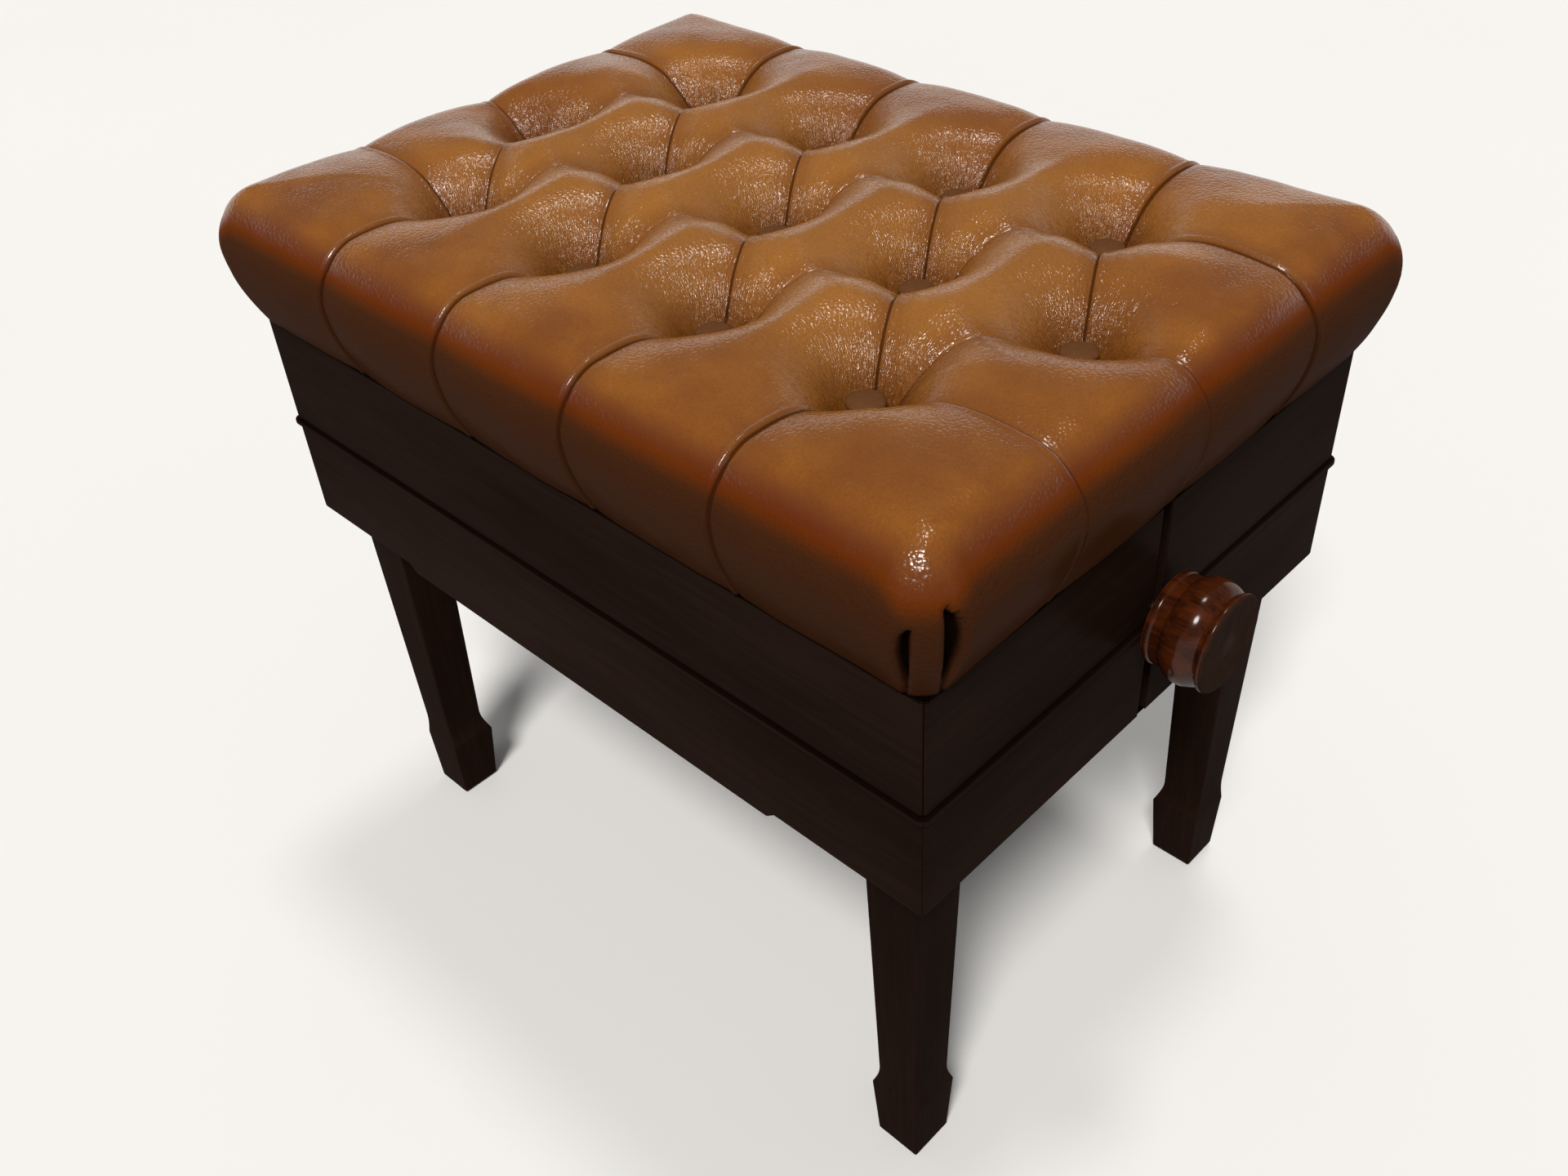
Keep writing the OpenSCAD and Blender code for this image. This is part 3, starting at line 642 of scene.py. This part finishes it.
# %% Buttons and folds on the net
buttons = [(k * pitch, r * row) for r in (-1, 1) for k in (-1.5, -0.5, 0.5, 1.5)]
buttons += [(k * pitch, 0.0) for k in (-2, -1, 0, 1, 2)]
folds = []
for k in (-1.5, -0.5, 0.5, 1.5):
    for r in (-1, 1):
        start = (k * pitch, r * row)
        folds.append((start, ((k - 0.5) * pitch, 0.0), -r, True))
        folds.append((start, ((k + 0.5) * pitch, 0.0), -r, True))
        folds.append((start, (k * pitch, r * (net_y + net_h)), -r, False))
for s in (-1, 1):
    folds.append(((s * 2 * pitch, 0.0), (s * (net_x + net_h), 0.0), s, False))
    for r in (-1, 1):
        folds.append(((s * 1.5 * pitch, r * row), (s * (net_x + net_h), r * row), -s * r, False))
print(len(buttons), "buttons and", len(folds), "folds")

# %% [markdown]
# How deep the leather lies at a point is a sum of simple curves. A well sinks round each button.
# Along a fold there is a broad valley, a sharp crease at its bottom, and a thin lip on one side.
# Where several curves meet, a soft maximum keeps the leather from kinking between them.

# %% Depth of the leather
well_bottom = button_low.z - 0.0003
well_floor = button_r + 0.0004
well_reach = 0.021
pull_reach = 0.032
valley_deep = 0.0042
valley_narrow = 0.0065
valley_wide = 0.021
valley_spread = 0.30
crease_deep = 0.0019
crease_wide = 0.0028
pulled_deeper = 0.0030
pulled_wider = 0.0015
lip_high = 0.0013
lip_wide = 0.0013
lip_off = 0.0021
groove_deep = 0.0011
groove_wide = 0.0010
lips_start = 0.011
lips_grow_over = 0.008


def soft_max(parts, power=4.0):
    return (np.sum(np.array(parts) ** power, axis=0)) ** (1 / power)


away = np.array([np.hypot(u - x, v - y) for x, y in buttons])
nearest = away.min(0)
wells = [np.exp(-((np.clip(r - well_floor, 0, None) / well_reach) ** 1.3)) for r in away]
well = np.clip(soft_max(wells, 6.0), 0, 1) * (form[:, 2] - well_bottom)

far_off = 9.0
valleys = []
creases = []
fold_mark = np.full(len(u), far_off)
fold_near = np.full(len(u), far_off)
for (ax, ay), (bx, by), lip, slanted in folds:
    length = math.hypot(bx - ax, by - ay)
    ex, ey = (bx - ax) / length, (by - ay) / length
    along = np.clip((u - ax) * ex + (v - ay) * ey, 0, length)
    across = (u - ax) * ey - (v - ay) * ex
    gap = np.hypot(u - ax - along * ex, v - ay - along * ey)
    run = np.minimum(along, length - along) if slanted else along
    pull = np.exp(-run / pull_reach)
    fade = 1.0 if slanted else np.clip(1.15 - along / length, 0.35, 1)
    width = np.clip(valley_narrow + valley_spread * run, 0.0, valley_wide)
    valleys.append((valley_deep + pulled_deeper * pull) * fade * np.exp(-((gap / width) ** 1.7)))
    width = crease_wide + pulled_wider * pull
    creases.append((crease_deep + pulled_deeper * pull) * fade * np.exp(-gap / width))
    nearer = gap < fold_near
    fold_near = np.where(nearer, gap, fold_near)
    fold_mark = np.where(nearer, np.where(across * lip > 0, gap, -gap), fold_mark)
valley = soft_max(valleys)
crease = soft_max(creases)
lip = lip_high * np.exp(-(((fold_mark - lip_off) / lip_wide) ** 2))
groove = groove_deep * np.exp(-((fold_near / groove_wide) ** 2))
clear = np.clip((nearest - lips_start) / lips_grow_over, 0, 1)
sunk = well + valley + crease + (groove - lip) * clear
print("the wells are", round(float(sunk.max()) * 1000, 1), "mm deep")

# %% [markdown]
# At each corner the leather that wraps two sides is gathered into two upright slits with a
# narrow strip between them. A slit opens from a point, is widest above its middle and closes at
# the bottom. The strip keeps its width although the corner tightens towards the bottom, so on the
# net it widens downwards. Between the folds, each panel is stuffed a little unevenly, so slow
# noise moves it by about a millimetre.

# %% Corner slits and uneven stuffing
strip_half = 0.0080
slit_top = (0.023, 0.013)
slit_wide = (0.0032, 0.0046)
slit_least = 0.0010
slit_deep = 0.0075
panel_uneven = 0.0011
small_uneven = 0.00035
settled = 0.0009
slit = np.zeros(len(u))
slit_mark = np.full(len(u), far_off)
corner_r = edge_r - tuck * np.clip(1 - up_side, 0, 1) ** 1.7
slit_off = strip_half * edge_r / corner_r
for s in (-1, 1):
    for r in (-1, 1):
        on_long = (down > 0) & (np.abs(v) > net_y + 1e-9)
        on_short = (down > 0) & ~on_long
        for where, off, top, wide in (
            (on_long, net_x - slit_off - u * s, slit_top[0], slit_wide[0]),
            (on_short, net_y - slit_off - v * r, slit_top[1], slit_wide[1]),
        ):
            here = where & ((np.sign(u) == s) & (np.sign(v) == r))
            t = np.clip((down - top) / (net_h - top), 0, 1)
            half = np.maximum(wide * np.sin(math.pi * t**0.75), slit_least)
            half *= np.clip(t / 0.10, 0.2, 1)
            centre = off - half
            shape = np.clip(t / 0.05, 0, 1) * np.exp(-((np.abs(centre) / half) ** 4))
            slit = np.where(here, np.maximum(slit, shape), slit)
            outside_slit = np.abs(centre) - half
            slit_mark = np.where(here & (t > 0), np.minimum(slit_mark, outside_slit), slit_mark)
sunk += slit_deep * slit

uneven = np.array([noise.noise((x * 16, y * 16, z * 16)) for x, y, z in form])
small = np.array([noise.noise((x * 55 + 9, y * 55, z * 55)) for x, y, z in form])
sunk += panel_uneven * uneven + small_uneven * small
sunk += settled
print("the slits take in", int((slit > 0.5).sum()), "points")

# %% [markdown]
# The leather now sinks along the plain form's own normals. Under the buttons the normals are
# upright, and round the edges they lean out, so a fold stays square to the surface as it turns
# over the edge.

# %% Sink the leather and make its mesh
upper = form - ball * sunk[:, None]
under = upper[last_ring] * np.array([0.97, 0.97, 0.0]) + np.array([0, 0, low.z])
upper[last_ring, 2] = low.z
points = np.concatenate([upper, under, [[0.0, 0.0, low.z]]])
lower = len(upper) + np.arange(len(last_ring))
for p in range(len(last_ring)):
    q = (p + 1) % len(last_ring)
    faces.append((lower[p], lower[q], last_ring[q], last_ring[p]))
    faces.append((len(points) - 1, lower[q], lower[p]))

cushion_mesh = bpy.data.meshes.new("cushion_leather")
cushion_mesh.from_pydata(points.tolist(), [], [tuple(int(i) for i in f) for f in faces])
cushion_mesh.validate()
for polygon in cushion_mesh.polygons:
    polygon.use_smooth = True
cushion = bpy.data.objects.new("cushion_leather", cushion_mesh)
bpy.context.scene.collection.objects.link(cushion)
print("the cushion has", len(cushion_mesh.vertices), "points")

# %% [markdown]
# ## What the leather's finish needs to know
#
# Leather is darker where it turns over an edge, and it wrinkles where a button pulls it. Both
# depend on where a point lies on the net, so each point carries that as attributes: how far it
# is from a fold and from a slit, how much it has turned to the side, how far in from the edge it
# lies and how strongly a button pulls it. The turn counts for less at a corner, which is rubbed
# paler. The mark called fan is a vector that changes fast round a button and slowly away from it,
# so a texture that is read on it spreads like the folds of a fan.

# %% Attributes of the leather
def carry(name, values, kind="FLOAT"):
    padded = np.zeros((len(points), 3 if kind == "FLOAT_VECTOR" else 1), np.float32)
    padded[: len(values)] = np.asarray(values, np.float32).reshape(len(values), -1)
    layer = cushion_mesh.attributes.new(name, kind, "POINT")
    layer.data.foreach_set("vector" if kind == "FLOAT_VECTOR" else "value", padded.ravel())
    marks.append(name)


marks = []
which = away.argmin(0)
centres = np.array(buttons)[which]
off_centre = np.maximum(nearest, 1e-4)
toward = np.stack([(u - centres[:, 0]) / off_centre, (v - centres[:, 1]) / off_centre], 1)
carry("fold", fold_near * 1000)
carry("slit", np.clip(slit_mark, -0.01, 0.02) * 1000)
at_corner = np.clip(2 * np.minimum(np.abs(past_x), np.abs(past_y)), 0, 1)
carry("turn", np.degrees(np.arccos(np.clip(ball[:, 2], -1, 1))) * (1 - 0.22 * at_corner))
carry("pull", np.exp(-((np.clip(nearest - 0.012, 0, None) / 0.025) ** 2)) * (down == 0))
fan_outward = nearest * 210 + which * 17.0
carry("fan", np.column_stack([toward * 26.0, fan_outward]), "FLOAT_VECTOR")
carry("inward", inside * 1000)
print("the leather carries", ", ".join(marks))

# %% [markdown]
# ## The leather: its colour
#
# The hide is a warm golden brown, rubbed with a darker stain along its edges. Its colour is built
# in layers, each mixed over the one before: slow blotches of gold and red-brown, a paler middle
# where people sit, redder leather by the folds and round the buttons, and the stain by how far
# the leather has turned. The bottoms of the folds, the slits and the lower rim, where no light gets
# in, are painted nearly black as shade.

# %% Leather colour
def mark(place, name, out=2):
    """What the leather's points carry under this name."""
    return place.node("Attribute", {"attribute_name": name}, out=out)


def broad_patches(place):
    return noise_on(place, 0.022, detail=3.0, rough=0.6, distortion=0.4)


def open_slit(place):
    return mark(place, "slit").between(-1.6, 1.0, 1.0, 0.0)


def hide_colour(place):
    fold = mark(place, "fold")
    turn = mark(place, "turn")
    pulled = mark(place, "pull")
    patch = broad_patches(place)
    gold = (noise_on(place, 0.085) * 0.8 + patch * 0.3 - 0.05).between(0.30, 0.70)
    hide = mix(gold, (0.212, 0.060, 0.0050), (0.338, 0.116, 0.0090))
    sat_on = mark(place, "inward").between(25, 120) * 0.55
    hide = mix(sat_on, hide, (0.385, 0.160, 0.0300))
    hide = mix(fold.between(2.0, 15.0, 0.45, 0.0), hide, (0.185, 0.052, 0.0070))
    hide = mix(pulled.between(0.70, 1.0) * 0.45, hide, (0.160, 0.038, 0.0040))
    speck = noise_on(place, 0.0014).between(0.35, 0.8)
    hide = mix(speck * 0.25, hide, (0.10, 0.030, 0.006))
    stain = turn.between(16, 46) * (patch * 0.2 + 0.72)
    hide = mix(stain, hide, (0.118, 0.0185, 0.0026))
    hide = mix(turn.between(48, 70) * 0.94, hide, (0.057, 0.0190, 0.0065))
    # painted shade: the crease at the bottom of each fold is darkened almost to black
    hide = mix(fold.between(0.3, 1.5, 0.80, 0.0), hide, (0.040, 0.011, 0.003))
    # painted shade: the open slits at the corners are painted nearly black
    hide = mix(open_slit(place), hide, (0.006, 0.0028, 0.0018))
    # painted shade: the lowest few millimetres of leather, tucked in over the box, are darkened almost
    # to black
    height = place.node("SeparateXYZ", None, {0: place}, out=2)
    rim = height.between(low.z + 0.0012, low.z + 0.0040, 0.92, 0.0)
    return mix(rim, hide, (0.005, 0.0025, 0.0016))


print("the hide darkens towards its rim, which is at", round(low.z, 4), "m")

# %% [markdown]
# ## The leather: its relief
#
# Three bumps lie over one another: pebbles about two millimetres across, then fine wrinkles that
# run in towards each button, then the line of each fold. The wrinkles are the cells of a Voronoi
# texture that is read on the fan mark, with finer threads between them, and a little noise shakes
# both so that none is straight. Pebbles are stretched flat beside a fold and where a button pulls
# hard, so they are weaker there.

# %% Leather relief
pebble_deep = 0.00036
wrinkle_deep = 0.00042
fold_line_deep = 0.0006
thread_size = 1 / 1.7


def hide_relief(place):
    fold = mark(place, "fold")
    pulled = mark(place, "pull")
    fan = mark(place, "fan", out=1)
    pebble = place.node(
        "TexVoronoi",
        {"feature": "SMOOTH_F1"},
        {"Vector": place, "Scale": 560.0, "Smoothness": 0.7},
    )
    loose = fold.between(0.8, 4.0, 0.2, 1.0) * (1 - pulled * 0.6)
    grained = (noise_on(place, 0.0030) * 0.35 - pebble) * loose
    pebbles = bump(place, grained, pebble_deep, 0.8)

    sway = place.node("TexNoise", None, {"Vector": place, "Scale": 240.0, "Detail": 2.0}, out=1)
    bent = fan.node("VectorMath", {"operation": "MULTIPLY_ADD"}, {0: sway, 1: [1.4] * 3, 2: fan})
    cells = bent.node(
        "TexVoronoi", {"feature": "DISTANCE_TO_EDGE"}, {"Vector": bent, "Scale": 1.0}
    )
    threads = noise_on(bent, thread_size, rough=0.6)
    crinkled = (cells.between(0.0, 0.40) + threads * 1.2) * pulled
    wrinkles = bump(place, crinkled, wrinkle_deep, 1.0, pebbles)
    return bump(place, fold.between(0.1, 0.9), fold_line_deep, 0.6, wrinkles)


depths = [round(deep * 1000, 2) for deep in (pebble_deep, wrinkle_deep, fold_line_deep)]
print("pebbles, wrinkles and fold lines are", depths, "mm deep")

# %% [markdown]
# ## The leather: its shine
#
# The top has been polished by use, and the sides and the bottoms of the folds have not. One
# shader can't change its specular level over a surface, so the finish mixes two: a shiny one, and
# a dull twin that takes over as the leather turns to the side or dips into a fold.

# %% Leather finish
def leather():
    def vary(place):
        side = mark(place, "turn").between(32, 54)
        in_fold = mark(place, "fold").between(0.3, 1.0, 1.0, 0.0)
        polish = noise_on(place, 0.0030) * 0.06 + broad_patches(place) * 0.06
        return {
            "Base Color": hide_colour(place),
            "Roughness": polish - mark(place, "pull") * 0.03 + 0.14,
            "Normal": hide_relief(place),
            "dull": side.sum("MAXIMUM", side, in_fold),
            "Coat Weight": open_slit(place).between(0.0, 1.0, 0.05, 0.0) * side,
        }

    sheltered = {"Specular IOR Level": 0.0, "Coat Roughness": 0.3}
    return finish("leather", {"Specular IOR Level": 0.60}, vary, sheltered)


cushion_mesh.materials.append(leather())
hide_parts("cushion")
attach(cushion, frame["nodes"]["cushion"]["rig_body"])
print("the leather's finish is on", cushion.name)

# %% [markdown]
# ## The covered buttons
#
# Each button is a metal cap with leather drawn over it and gathered beneath. A disc would look
# stamped, so its outline is turned on a lathe: a low dome, a round shoulder, and a waist where
# the leather is pulled under. The rim wavers a little because no two pleats under it are equal.

# %% Buttons
def turned(name, outline, steps, waver, seed):
    """A closed shape turned about Z from an outline of (radius, height) pairs, top first."""
    shape = bmesh.new()
    rings = []
    for radius, height in outline:
        ring = []
        for k in range(steps):
            a = 2 * math.pi * k / steps
            spot = (math.cos(a) * 2.2, math.sin(a) * 2.2, seed + height * 200)
            r = radius * (1 + waver * noise.noise(spot))
            ring.append(shape.verts.new((r * math.cos(a), r * math.sin(a), height)))
        rings.append(ring)
    for upper, under_ring in zip(rings, rings[1:]):
        for k in range(steps):
            n = (k + 1) % steps
            shape.faces.new((upper[k], under_ring[k], under_ring[n], upper[n]))
    shape.faces.new(rings[0])
    shape.faces.new(rings[-1][::-1])
    for face in shape.faces:
        face.smooth = True
    mesh = bpy.data.meshes.new(name)
    shape.to_mesh(mesh)
    shape.free()
    return mesh


def button_leather():
    def vary(place):
        worn = noise_on(place, 0.004, detail=3.0)
        pebble = place.node("TexVoronoi", {"feature": "F1"}, {"Vector": place, "Scale": 1100.0})
        return {
            "Base Color": mix(worn, (0.100, 0.038, 0.012), (0.155, 0.066, 0.026)),
            "Roughness": worn * 0.2 + 0.42,
            "Normal": bump(place, pebble, 0.0002, 0.5),
        }

    return finish("button_leather", {"Specular IOR Level": 0.05}, vary)


button_finish = button_leather()
button_h = button_high.z - button_low.z
button_outline = [
    (button_r * math.sin(a), button_h * (0.45 + 0.55 * math.cos(a)))
    for a in np.linspace(0.12, math.pi / 2, 8)
]
button_outline += [
    (button_r * 0.97, button_h * 0.28),
    (button_r * 0.86, button_h * 0.08),
    (button_r * 0.74, 0.0),
]
for number, (x, y) in enumerate(buttons):
    mesh = turned("button_%d" % (number + 1), button_outline, 28, 0.05, number * 3.1)
    mesh.materials.append(button_finish)
    piece = bpy.data.objects.new(mesh.name, mesh)
    bpy.context.scene.collection.objects.link(piece)
    piece.location = (x, y, button_low.z)
    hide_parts("buttons")
    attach(piece, frame["nodes"]["buttons"]["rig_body"])
print("made", len(buttons), "buttons")

# %% [markdown]
# ## The floor and the light
#
# The bench stands on a pale floor that runs out of sight. Two suns stand for lamps on the
# ceiling: the near one makes the shadow and the sparkle on the leather, and the weaker far one
# lifts the back. The width of a sun on the sky sets how soft its shadow is and how large its
# highlights are. A dim sky fills the shadows. The floor looks paler than the light it throws
# back, and the pale backdrop above the horizon shows only to the camera and in reflections, so
# neither brightens the bench.

# %% Floor, sky and lamp
def shown(wire):
    """1 on the rays that show a surface, straight or in a gloss, and 0 on those that only light it."""
    path = wire.node("LightPath").socket.node
    camera_ray, glossy_ray, glass_ray = (
        Wire(wire.tree, path.outputs["Is %s Ray" % kind])
        for kind in ("Camera", "Glossy", "Transmission")
    )
    return wire.sum("MAXIMUM", wire.sum("MAXIMUM", camera_ray, glossy_ray), glass_ray)


def floor():
    reach = 30.0
    corners = [(-reach, -reach, 0), (reach, -reach, 0), (reach, reach, 0), (-reach, reach, 0)]
    mesh = bpy.data.meshes.new("floor")
    mesh.from_pydata(corners, [], [(0, 1, 2, 3)])
    plane = bpy.data.objects.new("floor", mesh)
    bpy.context.scene.collection.objects.link(plane)

    def vary(place):
        cloudy = noise_on(place, 0.8)
        pale = mix(cloudy, (0.93, 0.93, 0.925), (0.96, 0.96, 0.955))
        return {"Base Color": mix(shown(place), (0.36, 0.35, 0.34), pale)}

    mesh.materials.append(finish("floor", {"Roughness": 0.9, "Specular IOR Level": 0.1}, vary))


floor()
fill = 0.20
world = bpy.data.worlds.new("sky")
world.use_nodes = True
bpy.context.scene.world = world
sky = Wire(world.node_tree)
background = world.node_tree.nodes["Background"]
up = sky.node("TexCoord", out=0)
height = up.node("SeparateXYZ", None, {0: up}, out=2)
sky.feed(background.inputs["Color"], (1.0, 0.99, 0.98))
backdrop = height.between(0.10, 0.40, 0.92, fill)
sky.feed(background.inputs["Strength"], shown(up) * (backdrop - fill) + fill)


def sun(name, direction, energy, width):
    """A distant lamp that shines from a direction and looks width degrees across."""
    data = bpy.data.lights.new(name, "SUN")
    data.energy = energy
    data.angle = math.radians(width)
    data.color = (1.0, 0.97, 0.93)
    lamp = bpy.data.objects.new(name, data)
    bpy.context.scene.collection.objects.link(lamp)
    lamp.location = direction
    lamp.rotation_mode = "QUATERNION"
    lamp.rotation_quaternion = (-lamp.location).to_track_quat("-Z", "Y")


sun("near_light", (0.56, -0.98, 1.62), 2.35, 14.0)
sun("far_light", (-0.08, 0.40, 1.92), 0.6, 9.0)
print("lit by two lamps and a sky of", fill)

# %% [markdown]
# ## The end
#
# A last update of the view layer brings every piece of the dressed bench to its place. The
# leather may stand a few millimetres proud, and nothing else may.

# %% Last update
bpy.context.view_layer.update()
